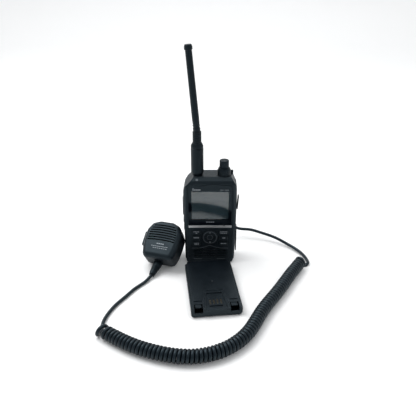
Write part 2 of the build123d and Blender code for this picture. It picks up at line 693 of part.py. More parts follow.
def mic_talk_bar():
    """Long talk bar on the left side, flanged inside."""
    bar = plate_x(rounded(-20.0, -13.4, TALK_LOW, TALK_HIGH, 1.4), -23.2, -18.2)
    bar = fillet(bar.faces().sort_by(Axis.X)[0].edges(), 0.8)
    return bar + block(-18.25, -17.65, -20.5, -12.9, TALK_LOW - 0.4, TALK_HIGH + 0.4)


def mic_clip():
    """Swivel clip: base disc, standing lever and its two hinge ears."""
    base = round_y(8.5, 0, 33.0, 2.2, 4.4) - round_y(1.25, 0, 33.0, 0, 6)
    lever = Pos(0, 4.6, 40.5) * Rot(17, 0, 0) * Pos(0, 1.1, -13.6) * Box(15.0, 2.2, 27.2)
    lever = fillet(lever.edges().filter_by(Axis.X), 0.8)
    ears = block(-7.0, -4.6, 3.4, 6.8, 36.0, 41.4) + block(4.6, 7.0, 3.4, 6.8, 36.0, 41.4)
    return base + lever + ears


def mic_clip_post():
    """Shouldered screw that the clip swivels on."""
    return round_y(1.2, 0, 33.0, -4.6, 5.0) + round_y(2.6, 0, 33.0, 4.45, 5.3)


def mic_place():
    """Location of the microphone as it lies propped on its clip."""
    return Pos(*MIC_AT) * Rot(0, 0, MIC_TURN) * Rot(MIC_LEAN - 90, 0, 0)


def mic_boot():
    """Tapered rubber boot from the lower end of the microphone, ringed near its tip."""
    run = Vector(*BOOT_END) - Vector(*BOOT_TOP)
    start = Plane(origin=BOOT_TOP, z_dir=run)
    section = Polyline((0, 0), (5.2, 0), (5.0, 5), (3.7, run.length - 4), (3.8, run.length - 3.8),
                       (3.1, run.length), (0, run.length), close=True)
    body = revolve(Plane.XZ * make_face(section), axis=Axis.Z)
    for step in range(4):
        z = 8.6 + 1.6 * step
        body -= round_z(6, 0, 0, z, z + 0.6) - round_z(3.7 - 0.12 * step, 0, 0, z, z + 0.6)
    return start.location * body


# ---- plug at the radio ----

def plug_body():
    """Plug on the back of the radio's head: pin, ribbed grip and tapered boot."""
    start = BODY_D + 0.1
    plug = round_y(1.75, PLUG_X, PLUG_Z, 21.2, start + 1) + round_y(4.3, PLUG_X, PLUG_Z, start, start + 10.4)
    for step in range(4):
        y = start + 2.4 + 1.8 * step
        plug -= round_y(6, PLUG_X, PLUG_Z, y, y + 0.7) - round_y(3.9, PLUG_X, PLUG_Z, y, y + 0.7)
    boot = Pos(PLUG_X, start + 13.6, PLUG_Z - 0.2) * Rot(-87, 0, 0) * Cone(3.2, 2.3, 6.8)
    return plug + boot


def build_all():
    """Make every node."""
    seat = lens_seat()
    parts["front_case"] = front_case() - seat
    parts["rear_chassis"] = rear_chassis()
    parts["top_panel"] = top_panel() - seat
    parts["case_seal"] = case_seal()
    parts["case_screws"] = case_screws()
    parts["display_window"] = display_window()
    parts["lcd_panel"] = lcd_panel()
    parts["trim_bar"] = trim_bar()
    parts["status_lens"] = status_lens()
    parts["keypad_mat"] = keypad_mat()
    parts["main_board"] = main_board()
    parts["rf_shield"] = rf_shield()
    parts["radio_speaker"] = radio_speaker()
    parts["radio_microphone"] = radio_microphone()
    parts["supply_contacts"] = supply_contacts()
    parts["jack_block"] = jack_block()
    parts["encoder_body"] = encoder_body()
    parts["volume_ring"] = volume_ring()
    parts["dial_knob"] = dial_knob()
    for name, x, z in key_spots():
        parts[name] = key_cap(x, z)
    parts["enter_key"] = enter_key()
    parts["dpad_ring"] = dpad_ring()
    parts["dpad_cradle"] = dpad_cradle()
    parts["talk_key"] = side_key(*SIDE_KEY_SPANS[0], 0.7)
    parts["squelch_key"] = side_key(*SIDE_KEY_SPANS[1], 0.6)
    parts["light_key"] = side_key(*SIDE_KEY_SPANS[2], 0.6)
    parts["upper_jack_cover"] = jack_cover(*UPPER_COVER, UPPER_COVER_OPEN)
    parts["lower_jack_cover"] = jack_cover(*LOWER_COVER, 0.0)
    parts["antenna_connector"] = antenna_connector()
    parts["antenna_sleeve"] = antenna_sleeve()
    parts["antenna_neck"] = antenna_neck()
    parts["antenna_whip"] = antenna_whip()
    pack = {"shell": battery_shell(), "lid": battery_lid(), "cells": battery_cells(),
            "terminals": battery_terminals()}
    for piece, shape in pack.items():
        parts[f"battery_{piece}"] = shape
        parts[f"spare_{piece}"] = to_spare(shape)
    parts["battery_latch"] = battery_latch()
    place = mic_place()
    mic = {"mic_front_shell": mic_front_shell(), "mic_rear_shell": mic_rear_shell(), "mic_screws": mic_screws(),
           "mic_board": mic_board(), "mic_speaker": mic_speaker(), "mic_capsule": mic_capsule(),
           "mic_talk_bar": mic_talk_bar(), "mic_clip": mic_clip(), "mic_clip_post": mic_clip_post()}
    for piece, shape in mic.items():
        parts[piece] = place * shape
    parts["mic_boot"] = mic_boot() - place * MIC_OUTER
    parts["plug_body"] = plug_body()
    parts["cord_mic_lead"] = sweep_cord(MIC_LEAD_PATH, CORD_R)
    parts["cord_coil"] = sweep_cord([(x, y, COIL_R) for x, y in COIL_PATH], COIL_R)
    parts["cord_radio_lead"] = sweep_cord(RADIO_LEAD_PATH, CORD_R)


build_all()
os.makedirs("parts", exist_ok=True)
to_frame = Pos(0, -FOOT_Y, 0)
for node, shape in parts.items():
    export_step(to_frame * shape, f"parts/{node}.step")
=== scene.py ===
import json
import math
import random

import bpy
import bmesh
import numpy as np
from mathutils import Matrix, Vector


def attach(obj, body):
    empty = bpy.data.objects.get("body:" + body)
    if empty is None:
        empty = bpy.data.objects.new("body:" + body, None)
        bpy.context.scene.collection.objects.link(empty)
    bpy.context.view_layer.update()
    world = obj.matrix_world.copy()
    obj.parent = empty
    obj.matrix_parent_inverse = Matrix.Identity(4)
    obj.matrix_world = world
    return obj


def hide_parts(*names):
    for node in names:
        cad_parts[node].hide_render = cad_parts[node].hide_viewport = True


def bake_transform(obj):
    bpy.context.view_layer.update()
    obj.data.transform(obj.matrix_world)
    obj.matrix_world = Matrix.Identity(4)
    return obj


# Handheld radio with a corded speaker microphone and a spare battery pack.
# Lengths are in millimetres in the part's drawing and turned into metres by at().

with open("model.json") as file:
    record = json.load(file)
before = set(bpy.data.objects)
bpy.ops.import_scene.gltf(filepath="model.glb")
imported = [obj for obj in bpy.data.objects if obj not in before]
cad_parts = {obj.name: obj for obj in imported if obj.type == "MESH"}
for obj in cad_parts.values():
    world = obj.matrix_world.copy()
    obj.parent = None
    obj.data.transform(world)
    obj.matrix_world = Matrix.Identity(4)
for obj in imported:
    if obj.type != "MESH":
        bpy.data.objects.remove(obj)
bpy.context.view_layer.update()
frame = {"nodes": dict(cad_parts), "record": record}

MM = 0.001
FOOT_Y = 7.8                        # the drawing's front face is this far in front of the frame's origin

LCD_LEFT, LCD_RIGHT, LCD_LOW, LCD_HIGH = -20.2, 20.4, 56.8, 90.6
WINDOW_FACE, PANEL_FACE = 0.15, 0.45    # depths of the window and of the keypad panel
KEY_FACE, RING_FACE, ENTER_FACE = -0.7, -1.2, -0.9
DPAD_Z = 34.5
GLASS_LEAN = (0.030, 0.0, 0.042)    # slope of the window and display glass

MIC_AT, MIC_TURN, MIC_LEAN, MIC_FACE = (-55.4, -7.2, 0.25), -17.0, 35.0, -26.0
SPARE_AT, SPARE_TURN, PACK_T = (1.9, -53.1), 6.7, 10.6

ANTENNA_AT = (-13.7, 14.0)
NECK_R, NECK_LOW, NECK_HIGH = 4.7, 141.4, 153.4
NECK_GROOVES, GROOVE_PITCH, GROOVE_WIDTH, GROOVE_DEPTH = 4, 2.6, 0.8, 0.5
NECK_SIDES, RING_SIDES = 48, 64
SHARP_ANGLE = math.radians(32)      # edges sharper than this stay crisp

CORD_R, COIL_R = 1.8, 6.9
COIL_PITCH = 3.66
START_RUN, END_RUN = 6.5, 4.0       # how much further apart the first and the last turns stand
COIL_SIDES, COIL_STEPS = 12, 22     # sides of the cord and steps in one turn
LEAD_SIDES = 16
COIL_POINTS = ((-104.2, -120.3), (-98.7, -123.7), (-76, -138.2), (-46, -151), (-15, -155.3), (12, -146.8),
               (33.5, -127), (50.2, -95.6), (72, -60), (84, -39), (104, -6.5))
MIC_LEAD = ((-64.1, -29.4, 3.8), (-69.5, -39, 2.2), (-79, -51, 1.9), (-87, -64.5, 1.9), (-95, -78, 1.9),
            (-100, -90, 1.9), (-102.8, -101, 1.9), (-103.2, -110, 1.9))
RADIO_LEAD = ((15.0, 44.0, 90.5), (15.8, 50.5, 88), (17.0, 57, 78), (18.6, 60.5, 58), (21, 61, 36),
              (26, 60, 18), (34.5, 58.3, 12.4), (49, 55.7, 11.9), (62, 52, 10), (76, 46, 8), (86, 40, 6),
              (94, 34, 4), (101, 27, 3), (106.6, 19, 2.5), (110.4, 10, 2.2), (112.4, 1.5, 2.0),
              (111.2, -5.2, 1.9))

INK_AND_HIGHLIGHT_RELIEF = 0.04                          # how far printed marks and strips of painted highlight stand proud
DASH_SHARE = 0.78                   # printed share of each dash's pitch
# Path of the painted highlight along the bowed ridge under the keys, as (x, z) points
BOWED_RIDGE_PATH = ((-20.4, 19.9), (-10.0, 20.2), (-4.6, 21.8), (0, 23.2), (4.6, 21.8), (10.0, 20.2), (20.4, 19.9))
# Each row is its middle, its height on the face, its length, the dashes' height and their number.
MIC_MARKS = ((0.6, 16.4, 9.0, 1.1, 4), (0.4, 13.2, 20.0, 0.55, 9), (1.4, 11.0, 17.0, 0.55, 7))

COOL = (0.66, 0.88, 1.0)            # tint of the sheen on black plastic and rubber
DUST = (0.14, 0.145, 0.15)
SKY = 0.66                          # strength of the white surroundings
MIRRORED_SKY = 0.50                 # their strength in reflections
# Each lamp is its name, its place and size in metres, and its power in watts.
LAMPS = (("key_light", (-0.6, 0.15, 1.0), 0.7, 9.0), ("fill_light", (0.9, -0.5, 0.8), 0.8, 1.2),
         ("top_light", (0.1, 0.5, 1.3), 1.2, 7.0))
CAMERA_AT, CAMERA_DOWN, CAMERA_LENS = (-2.2, -475.9, 321.2), 27.71, 42.75


def at(x, y, z):
    """A point of the drawing, in the frame."""
    return Vector((x * MM, (y - FOOT_Y) * MM, z * MM))


# ---- materials ----

def link(tree, source, target):
    tree.links.new(source, target)


def feed(tree, socket, value):
    """Links a node's output into the socket, or sets the socket to a plain value."""
    if isinstance(value, bpy.types.NodeSocket):
        link(tree, value, socket)
    else:
        socket.default_value = value


def node(tree, kind, settings=None, **inputs):
    """A shader node with its settings and its unlinked or linked inputs."""
    made = tree.nodes.new(kind)
    for name, value in (settings or {}).items():
        setattr(made, name, value)
    for name, value in inputs.items():
        feed(tree, made.inputs[name.replace("_", " ")], value)
    return made


def maths(tree, operation, a, b=0.0, clamp=False):
    made = tree.nodes.new("ShaderNodeMath")
    made.operation = operation
    made.use_clamp = clamp
    feed(tree, made.inputs[0], a)
    feed(tree, made.inputs[1], b)
    return made.outputs[0]


def ramp(tree, value, low, high, to_low=0.0, to_high=1.0):
    """Maps value from low..high to to_low..to_high, clamped."""
    made = node(tree, "ShaderNodeMapRange", Value=value, From_Min=low, From_Max=high, To_Min=to_low,
                To_Max=to_high)
    return made.outputs["Result"]


def blend_colour(tree, share, first, second):
    """Mixes two colours, each a node's output or a plain (r, g, b)."""
    made = tree.nodes.new("ShaderNodeMix")
    made.data_type = "RGBA"
    feed(tree, made.inputs[0], share)
    for socket, colour in ((made.inputs[6], first), (made.inputs[7], second)):
        feed(tree, socket, (*colour, 1.0) if isinstance(colour, tuple) else colour)
    return made.outputs[2]


def start_material(name):
    """A new material with its node tree, its shader and the surface's place in millimetres."""
    material = bpy.data.materials.new(name)
    material.use_nodes = True
    tree = material.node_tree
    shader = tree.nodes["Principled BSDF"]
    place = node(tree, "ShaderNodeTexCoord").outputs["Object"]
    scaled = node(tree, "ShaderNodeVectorMath", {"operation": "SCALE"}, Scale=1 / MM)
    link(tree, place, scaled.inputs[0])
    return material, tree, shader, scaled.outputs[0]


def noise(tree, place, scale, detail=3.0, rough=0.5):
    made = node(tree, "ShaderNodeTexNoise", Vector=place, Scale=scale, Detail=detail, Roughness=rough)
    return made.outputs["Fac"]


def surface(name, colour, roughness, grain=2.4, grain_depth=0.02, mottle=0.12, edge=0.35,
            edge_colour=None, metallic=0.0, scratches=0.0, dust=0.04, soften=0.35, coat=0.0, shine=0.36):
    """Moulded, painted or metal surface: grain, mottled roughness, worn edges, fine scratches and dust."""
    material, tree, shader, place = start_material(name)
    fine = noise(tree, place, grain, 2.0)
    broad = noise(tree, place, 0.09, 4.0, 0.6)
    rounded = node(tree, "ShaderNodeBevel", {"samples": 4}, Radius=soften * MM)
    geometry = node(tree, "ShaderNodeNewGeometry")
    facing = node(tree, "ShaderNodeVectorMath", {"operation": "DOT_PRODUCT"})
    link(tree, rounded.outputs[0], facing.inputs[0])
    link(tree, geometry.outputs["Normal"], facing.inputs[1])
    worn = ramp(tree, facing.outputs["Value"], 0.995, 0.86)
    worn = maths(tree, "MULTIPLY", worn, ramp(tree, noise(tree, place, 0.55, 4.0, 0.7), 0.35, 0.7), True)
    worn = maths(tree, "MULTIPLY", worn, edge, True)
    light = edge_colour or tuple(min(1.0, c * 2.4 + 0.012) for c in colour)
    dark = tuple(c * (1.0 - mottle) for c in colour)
    bright = tuple(c * (1.0 + mottle) for c in colour)
    paint = blend_colour(tree, ramp(tree, broad, 0.3, 0.7), dark, bright)
    paint = blend_colour(tree, worn, paint, light)
    up = node(tree, "ShaderNodeSeparateXYZ")
    link(tree, geometry.outputs["Normal"], up.inputs[0])
    flatness = ramp(tree, up.outputs["Z"], 0.3, 1.0)
    settled = maths(tree, "MULTIPLY", flatness, ramp(tree, fine, 0.45, 0.75), True)
    settled = maths(tree, "MULTIPLY", settled, dust, True)
    paint = blend_colour(tree, settled, paint, DUST)
    link(tree, paint, shader.inputs["Base Color"])
    rough = ramp(tree, broad, 0.25, 0.75, roughness - 0.07, roughness + 0.08)
    height = fine
    if scratches:
        stretched = node(tree, "ShaderNodeMapping", Vector=place)
        stretched.inputs["Scale"].default_value = (0.25, 0.25, 6.0)
        lines = ramp(tree, noise(tree, stretched.outputs[0], 1.4, 6.0, 0.75), 0.5, 0.62)
        rough = maths(tree, "ADD", rough, maths(tree, "MULTIPLY", lines, scratches))
        height = maths(tree, "ADD", height, maths(tree, "MULTIPLY", lines, 0.4))
    link(tree, rough, shader.inputs["Roughness"])
    bump = node(tree, "ShaderNodeBump", Strength=1.0, Distance=grain_depth * MM, Height=height)
    link(tree, rounded.outputs[0], bump.inputs["Normal"])
    link(tree, bump.outputs[0], shader.inputs["Normal"])
    shader.inputs["Metallic"].default_value = metallic
    shader.inputs["Specular IOR Level"].default_value = shine
    shader.inputs["Specular Tint"].default_value = (*COOL, 1.0)
    shader.inputs["Coat Weight"].default_value = coat
    return material


def cord_jacket():
    """Satin rubber jacket with fine grain and handling marks."""
    return surface("cord_jacket", (0.0022, 0.0042, 0.0068), 0.36, grain=1.1, grain_depth=0.03, mottle=0.25,
                   edge=0.0, dust=0.05, soften=0.1)


def printed_ink(name, tone):
    """Pad-printed ink, slightly uneven; the faintest tone also serves as painted highlight along edges."""
    return surface(name, tone, 0.55, grain=5.0, grain_depth=0.008, edge=0.0, dust=0.0, soften=0.02)


def leaned_normal(tree):
    """Surface normal of glass that leans by a degree or two."""
    geometry = node(tree, "ShaderNodeNewGeometry")
    leaned = node(tree, "ShaderNodeVectorMath", {"operation": "ADD"})
    link(tree, geometry.outputs["Normal"], leaned.inputs[0])
    leaned.inputs[1].default_value = GLASS_LEAN
    unit = node(tree, "ShaderNodeVectorMath", {"operation": "NORMALIZE"})
    link(tree, leaned.outputs[0], unit.inputs[0])
    return unit.outputs[0]


def window_material(clear_low, clear_high):
    """Hard-coated window: clear over the display, printed black around it, with faint smears."""
    material, tree, shader, place = start_material("window")
    axes = node(tree, "ShaderNodeSeparateXYZ", Vector=place)
    masks = []
    for axis, low, high in (("X", clear_low[0], clear_high[0]), ("Z", clear_low[2], clear_high[2])):
        centre = (low + high) / 2 / MM
        half = (high - low) / 2 / MM
        off = maths(tree, "ABSOLUTE", maths(tree, "SUBTRACT", axes.outputs[axis], centre))
        masks.append(ramp(tree, off, half - 0.05, half + 0.05, 1.0, 0.0))
    clear = maths(tree, "MULTIPLY", masks[0], masks[1], True)
    normal = leaned_normal(tree)
    smears = ramp(tree, noise(tree, place, 0.12, 5.0, 0.65), 0.35, 0.75, 0.03, 0.11)
    shader.inputs["Base Color"].default_value = (0.0015, 0.0025, 0.0045, 1)
    link(tree, ramp(tree, axes.outputs["Z"], 54.0, 62.0, 0.05, 0.27), shader.inputs["Specular IOR Level"])
    shader.inputs["Specular Tint"].default_value = (*COOL, 1.0)
    link(tree, smears, shader.inputs["Roughness"])
    link(tree, normal, shader.inputs["Normal"])
    glass = node(tree, "ShaderNodeBsdfTransparent", Color=(0.97, 0.98, 0.98, 1))
    gleam = node(tree, "ShaderNodeBsdfGlossy", Roughness=0.04, Normal=normal)
    pane = node(tree, "ShaderNodeMixShader", Fac=0.02)
    link(tree, glass.outputs[0], pane.inputs[1])
    link(tree, gleam.outputs[0], pane.inputs[2])
    whole = node(tree, "ShaderNodeMixShader", Fac=clear)
    link(tree, shader.outputs[0], whole.inputs[1])
    link(tree, pane.outputs[0], whole.inputs[2])
    link(tree, whole.outputs[0], tree.nodes["Material Output"].inputs["Surface"])
    return material


def display_material():
    """Unlit display: dark grey-green cells with fine rows, under a strongly reflecting polariser."""
    material, tree, shader, place = start_material("display")
    rows = node(tree, "ShaderNodeTexWave", {"bands_direction": "Z"}, Vector=place, Scale=1.6, Distortion=0.0)
    tone = blend_colour(tree, rows.outputs["Fac"], (0.016, 0.029, 0.036), (0.020, 0.034, 0.042))
    link(tree, tone, shader.inputs["Base Color"])
    link(tree, ramp(tree, noise(tree, place, 0.3, 3.0), 0.3, 0.7, 0.05, 0.10), shader.inputs["Roughness"])
    height = node(tree, "ShaderNodeSeparateXYZ", Vector=place).outputs["Z"]
    link(tree, ramp(tree, height, 57.0, 84.0, 1.62, 1.84), shader.inputs["IOR"])
    link(tree, leaned_normal(tree), shader.inputs["Normal"])
    return material


def make_materials():
    """One finished material for each slot of the record, and for the printed marks and the painted
    highlights.
    """
    clear_low = at(LCD_LEFT, 0, LCD_LOW)
    clear_high = at(LCD_RIGHT, 0, LCD_HIGH)
    black_plastic = (0.0008, 0.0020, 0.0038)
    black_rubber = (0.0020, 0.0038, 0.0060)
    return {
        "case_plastic": surface("case_plastic", black_plastic, 0.40, edge=0.6, scratches=0.1),
        "cast_frame": surface("cast_frame", (0.0010, 0.0022, 0.0040), 0.42, grain=1.5, grain_depth=0.03,
                              edge=0.7, edge_colour=(0.10, 0.11, 0.12), scratches=0.1),
        "pack_plastic": surface("pack_plastic", (0.0004, 0.0016, 0.0036), 0.36, edge=0.7, scratches=0.12,
                                edge_colour=(0.06, 0.07, 0.08)),
        "gloss_black": surface("gloss_black", (0.006, 0.007, 0.010), 0.18, grain_depth=0.004, coat=0.3),
        "lens": window_material(clear_low, clear_high),
        "display": display_material(),
        "trim": surface("trim", (0.46, 0.47, 0.48), 0.30, grain=3.0, grain_depth=0.001, mottle=0.02,
                        edge=0.0, metallic=0.85, dust=0.0, soften=0.15, shine=0.5),
        "key_rubber": surface("key_rubber", (0.0008, 0.0018, 0.0032), 0.48, grain=3.4, edge=0.5),
        "soft_rubber": surface("soft_rubber", black_rubber, 0.42, grain=2.2, grain_depth=0.02, edge=0.4,
                               shine=0.24),
        "cord_jacket": cord_jacket(),
        "screw_steel": surface("screw_steel", (0.08, 0.08, 0.09), 0.35, metallic=1.0, edge=0.6,
                               edge_colour=(0.4, 0.4, 0.4)),
        "bare_steel": surface("bare_steel", (0.50, 0.51, 0.53), 0.32, metallic=1.0, scratches=0.15),
        "contact_metal": surface("contact_metal", (0.08, 0.072, 0.055), 0.34, metallic=1.0, scratches=0.12,
                                 edge=0.3, soften=0.1),
        "board": surface("board", (0.02, 0.12, 0.06), 0.35, grain=1.2),
        "cell_wrap": surface("cell_wrap", (0.05, 0.11, 0.26), 0.28, grain=0.8),
        "light_pipe": surface("light_pipe", (0.09, 0.10, 0.11), 0.35, edge=0.0, dust=0.02, soften=0.1),
        "mic_plastic": surface("mic_plastic", (0.0010, 0.0024, 0.0045), 0.46, grain=2.0, grain_depth=0.035,
                               edge=0.5, dust=0.06, soften=0.5),
        "ink": printed_ink("printed_ink", (0.30, 0.32, 0.34)),
        "grey_ink": printed_ink("grey_ink", (0.17, 0.185, 0.20)),
        # Faint ink for the prints on the case foot and the pack, also the painted highlight along the edges
        # of the direction ring, the enter key and the bowed ridge
        "faint_ink_and_highlight": printed_ink("faint_ink_and_highlight", (0.060, 0.068, 0.075)),
    }


# ---- mesh helpers ----

def new_object(name, mesh, material, body):
    piece = bpy.data.objects.new(name, mesh)
    bpy.context.scene.collection.objects.link(piece)
    mesh.materials.append(material)
    if body:
        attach(piece, body)
    return piece


def bridge(built, loops):
    """Skins closed loops of equal length, each to the next."""
    for first, second in zip(loops, loops[1:]):
        for i in range(len(first)):
            j = (i + 1) % len(first)
            built.faces.new((first[i], first[j], second[j], second[i]))


def write_mesh(built, mesh):
    """Turns all faces outwards and writes them into the mesh."""
    bmesh.ops.recalc_face_normals(built, faces=built.faces)
    built.to_mesh(mesh)
    built.free()


def smooth_path(points, step):
    """Points along a natural cubic spline through the given points, about one step apart."""
    p = np.array([tuple(q) for q in points], float)
    knots = np.concatenate(([0.0], np.cumsum(np.linalg.norm(np.diff(p, axis=0), axis=1))))
    count = len(p)
    h = np.diff(knots)
    a = np.zeros((count, count))
    b = np.zeros((count, 3))
    a[0, 0] = 1.0
    a[-1, -1] = 1.0
    for i in range(1, count - 1):
        a[i, i - 1] = h[i - 1]
        a[i, i] = 2 * (h[i - 1] + h[i])
        a[i, i + 1] = h[i]
        b[i] = 6 * ((p[i + 1] - p[i]) / h[i] - (p[i] - p[i - 1]) / h[i - 1])
    m = np.linalg.solve(a, b)
    along = np.linspace(0, knots[-1], max(8, int(knots[-1] / step)))
    span = np.clip(np.searchsorted(knots, along, side="right") - 1, 0, count - 2)
    left = (along - knots[span])[:, None]
    right = (knots[span + 1] - along)[:, None]
    width = h[span][:, None]
    curve = (m[span] * right ** 3 + m[span + 1] * left ** 3) / (6 * width)
    curve += (p[span] / width - m[span] * width / 6) * right
    curve += (p[span + 1] / width - m[span + 1] * width / 6) * left
    return curve


def tube_mesh(name, path, radius, sides):
    """Closed round tube along a path, with domed ends."""
    path = np.asarray(path, float)
    tangents = np.gradient(path, axis=0)
    tangents /= np.linalg.norm(tangents, axis=1)[:, None]
    normal = np.cross(tangents[0], (0.0, 0.0, 1.0))
    if np.linalg.norm(normal) < 1e-6:
        normal = np.cross(tangents[0], (0.0, 1.0, 0.0))
    normal /= np.linalg.norm(normal)
    angles = np.linspace(0, 2 * math.pi, sides, endpoint=False)
    rings = []
    for point, tangent in zip(path, tangents):
        normal = normal - tangent * np.dot(normal, tangent)
        normal /= np.linalg.norm(normal)
        binormal = np.cross(tangent, normal)
        ring = point + radius * (np.outer(np.cos(angles), normal) + np.outer(np.sin(angles), binormal))
        rings.append(ring)
    first = path[0] - tangents[0] * radius * 0.3
    last = path[-1] + tangents[-1] * radius * 0.3
    vertices = [tuple(v) for ring in rings for v in ring] + [tuple(first), tuple(last)]
    faces = []
    for r in range(len(rings) - 1):
        for s in range(sides):
            t = (s + 1) % sides
            faces.append((r * sides + s, r * sides + t, (r + 1) * sides + t, (r + 1) * sides + s))
    base = (len(rings) - 1) * sides
    for s in range(sides):
        t = (s + 1) % sides
        faces.append((len(vertices) - 2, t, s))
        faces.append((len(vertices) - 1, base + s, base + t))
    mesh = bpy.data.meshes.new(name)
    mesh.from_pydata(vertices, [], faces)
    mesh.shade_smooth()
    return mesh


# ---- coiled cord ----

def coil_path():
    """Helix wound round the coil's centreline, with uneven turns that open out at both ends."""
    rng = random.Random(7)
    centre = smooth_path([at(x, y, COIL_R) for x, y in COIL_POINTS], 0.2 * MM)
    steps = np.linalg.norm(np.diff(centre, axis=0), axis=1)
    length = np.concatenate(([0.0], np.cumsum(steps)))
    wound = length[-1] / MM - START_RUN - END_RUN
    turns = int(wound / COIL_PITCH)
    radius = (COIL_R - CORD_R) * MM
    wobble = [rng.uniform(-1, 1) for _ in range(turns + 2)]
    path = []
    for k in range(turns * COIL_STEPS + 1):
        turn = k / COIL_STEPS
        opened = START_RUN * (1 - math.exp(-1.2 * turn)) + END_RUN * math.exp(-1.2 * (turns - turn))
        s = (wound * turn / turns + opened) * MM
        i = min(max(np.searchsorted(length, s), 1), len(centre) - 2)
        forward = centre[i + 1] - centre[i - 1]
        forward /= np.linalg.norm(forward)
        side = np.array((forward[1], -forward[0], 0.0))
        angle = math.pi - 2 * math.pi * turn
        whole = int(turn)
        mix = turn - whole
        off = wobble[whole] * (1 - mix) + wobble[whole + 1] * mix
        r = radius * (1 - 0.025 * abs(off))
        lean = 0.12 * off * MM * math.sin(angle)
        around = side * math.sin(angle) + np.array((0, 0, 1.0)) * math.cos(angle)
        path.append(centre[i] + r * around + forward * lean)
    return np.array(path)


def make_lead(name, points, coil_end, before_end, cad_node, materials):
    """A straight lead that runs into one end of the coil."""
    run = (coil_end - before_end) / np.linalg.norm(coil_end - before_end)
    through = [at(*p) for p in points]
    through += [Vector(coil_end + run * 3.0 * MM), Vector(coil_end - run * 0.3 * MM)]
    mesh = tube_mesh(name, smooth_path(through, 1.0 * MM), CORD_R * MM, LEAD_SIDES)
    lead = new_object(name, mesh, materials["cord_jacket"], None)
    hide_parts(cad_node)
    return lead


def make_cord(materials):
    """The coil and the two straight leads that run into it."""
    helix = coil_path()
    wound = tube_mesh("coiled_cord", helix, CORD_R * MM, COIL_SIDES)
    coil = new_object("coiled_cord", wound, materials["cord_jacket"], "radio")
    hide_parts("cord_coil")
    mic_lead = make_lead("mic_lead", MIC_LEAD, helix[0], helix[3], "cord_mic_lead", materials)
    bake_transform(mic_lead)
    radio_lead = make_lead("radio_lead", RADIO_LEAD, helix[-1], helix[-4], "cord_radio_lead", materials)
    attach(radio_lead, "radio")


# ---- antenna neck ----

def turned_mesh(name, profile, axis_at, sides):
    """Closed solid of revolution about a vertical axis. The profile is (radius, height) points."""
    mesh = bpy.data.meshes.new(name)
    built = bmesh.new()
    loops = []
    for radius, height in profile:
        loop = []
        for step in range(sides):
            angle = 2 * math.pi * step / sides
            spot = (axis_at[0] + radius * math.cos(angle), axis_at[1] + radius * math.sin(angle), height)
            loop.append(built.verts.new(at(*spot)))
        loops.append(loop)
    bridge(built, loops)
    built.faces.new(list(reversed(loops[0])))
    built.faces.new(loops[-1])
    write_mesh(built, mesh)
    mesh.shade_smooth()
    mesh.set_sharp_from_angle(angle=SHARP_ANGLE)
    return mesh


def make_neck(materials):
    """Flexible neck with ring grooves, between the sleeve and the whip."""
    profile = [(NECK_R, NECK_LOW)]
    floor = NECK_R - GROOVE_DEPTH
    for groove in range(NECK_GROOVES):
        low = NECK_LOW + 2.0 + GROOVE_PITCH * groove
        high = low + GROOVE_WIDTH
        profile += [(NECK_R, low), (floor, low), (floor, high), (NECK_R, high)]
    profile.append((NECK_R, NECK_HIGH))
    mesh = turned_mesh("flexible_neck", profile, ANTENNA_AT, NECK_SIDES)
    neck = new_object("flexible_neck", mesh, materials["soft_rubber"], None)
    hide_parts("antenna_neck")
    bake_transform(neck)


# ---- printed marks, dashes and dots only, and strips of painted highlight ----

def marks(name, rows, place, body, ink):
    """Thin raised dashes. Each row is (x, z, length, height); place maps (x, depth, z) to the frame."""
    mesh = bpy.data.meshes.new(name)
    built = bmesh.new()
    for x, z, length, height in rows:
        corner = min(height, length) * 0.35
        outline = []
        for cx, cz, start in ((x + length / 2 - corner, z + height / 2 - corner, 0),
                              (x - length / 2 + corner, z + height / 2 - corner, 90),
                              (x - length / 2 + corner, z - height / 2 + corner, 180),
                              (x + length / 2 - corner, z - height / 2 + corner, 270)):
            for step in range(4):
                angle = math.radians(start + 30 * step)
                outline.append((cx + corner * math.cos(angle), cz + corner * math.sin(angle)))
        front = [built.verts.new(place(px, -INK_AND_HIGHLIGHT_RELIEF, pz)) for px, pz in outline]
        back = [built.verts.new(place(px, INK_AND_HIGHLIGHT_RELIEF, pz)) for px, pz in outline]
        built.faces.new(front)
        built.faces.new(list(reversed(back)))
        for i in range(len(front)):
            j = (i + 1) % len(front)
            built.faces.new((front[j], front[i], back[i], back[j]))
    write_mesh(built, mesh)
    return new_object(name, mesh, ink, body)


def dashes(x, z, length, height, pieces):
    """A row of short dashes filling a length."""
    rows = []
    pitch = length / pieces
    for i in range(pieces):
        centre = x - length / 2 + pitch * (i + 0.5)
        rows.append((centre, z, pitch * DASH_SHARE, height))
    return rows


# For each row of keys, the marks of its left and its right key.
KEY_MARKS = (
    (dashes(-15.3, 41.6, 6.6, 1.0, 4) + [(-15.1, 39.7, 2.0, 1.0)], dashes(15.3, 41.6, 8.2, 1.0, 5)
     + dashes(15.3, 39.8, 7.6, 1.0, 4)),
    (dashes(-15.3, 33.9, 6.4, 1.5, 4), dashes(15.6, 33.6, 3.4, 1.7, 2)),
    (dashes(-15.0, 26.6, 5.4, 1.1, 3) + dashes(-15.0, 25.0, 5.4, 1.1, 3), dashes(15.3, 26.3, 6.6, 1.3, 4)),
)


def on_face(y):
    """Puts drawing points onto the plane at this depth, facing the viewer."""
    return lambda x, depth, z: at(x, y + depth, z)


def on_microphone(x, depth, z):
    """A point on the microphone's face as it lies propped on its clip."""
    leaned = Matrix.Rotation(math.radians(MIC_LEAN - 90), 4, "X")
    turned = Matrix.Rotation(math.radians(MIC_TURN), 4, "Z")
    return at(*MIC_AT) + turned @ leaned @ Vector((x * MM, (MIC_FACE + depth) * MM, z * MM))


